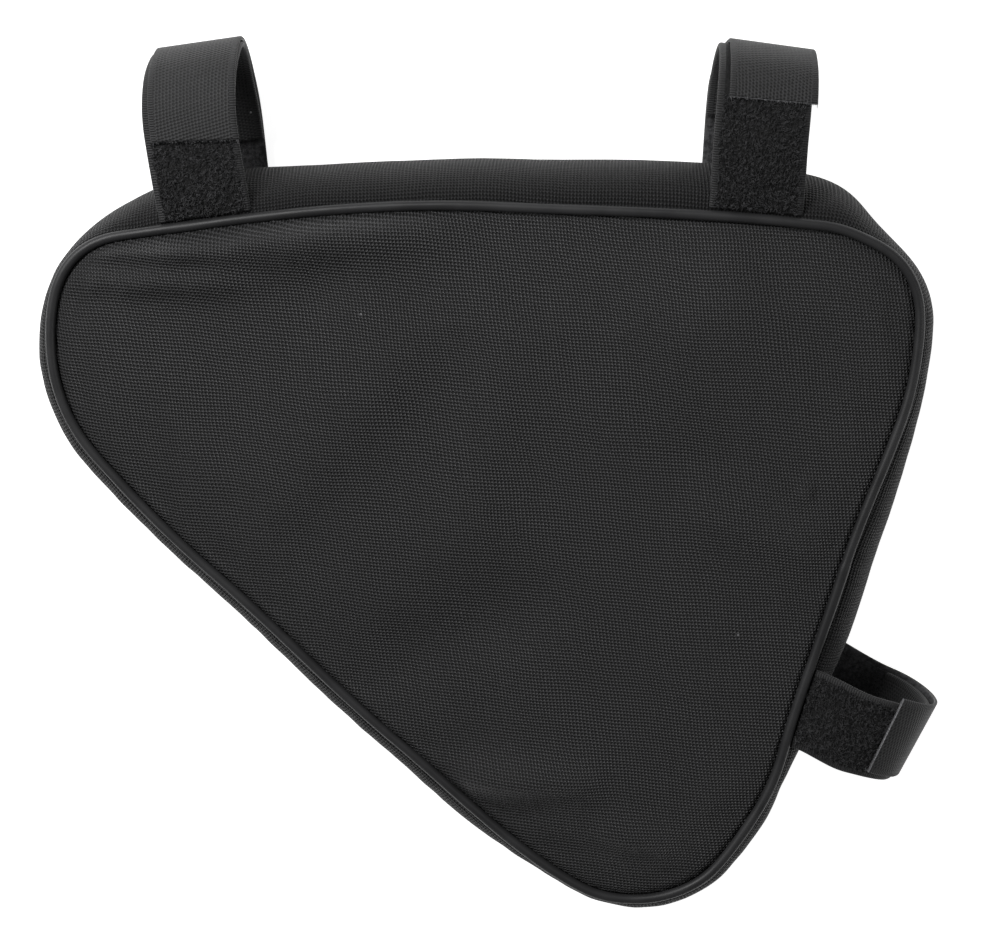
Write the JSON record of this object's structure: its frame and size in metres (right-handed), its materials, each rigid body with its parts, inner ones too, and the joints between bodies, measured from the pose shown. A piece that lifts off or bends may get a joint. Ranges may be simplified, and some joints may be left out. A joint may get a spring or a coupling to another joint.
{
  "type": "bicycle bag",
  "caption": "Triangular bag that hangs inside a bicycle frame on hook-and-loop straps, with a bulging side wall and piped seams.",
  "frame": {"origin": "on the surface that the bag lies on, under the middle of its bounding box", "axes": "+X along the bag's top edge towards the lower strap's side, +Y out of the top edge, +Z out of the front panel"},
  "size_m": [0.321, 0.316, 0.0562],
  "materials": {
    "cloth": "coarse black plain-weave polyester, slight sheen",
    "piping": "smooth semi-gloss black vinyl over a cord",
    "zip": "black coil zip on woven tape",
    "pile_tape": "deep black brushed nylon loops with a plain selvedge",
    "hook_tape": "dark grey close-woven nylon back of a hook tape"
  },
  "bodies": {
    "root": {"front_panel": "cloth", "back_panel": "cloth", "gusset": "cloth", "front_piping": "piping", "back_piping": "piping", "zip": "zip", "left_strap_pile_tape": "pile_tape", "left_strap_hook_tape": "hook_tape", "right_strap_pile_tape": "pile_tape", "right_strap_hook_tape": "hook_tape", "lower_strap_pile_tape": "pile_tape", "lower_strap_hook_tape": "hook_tape"}
  },
  "joints": []
}
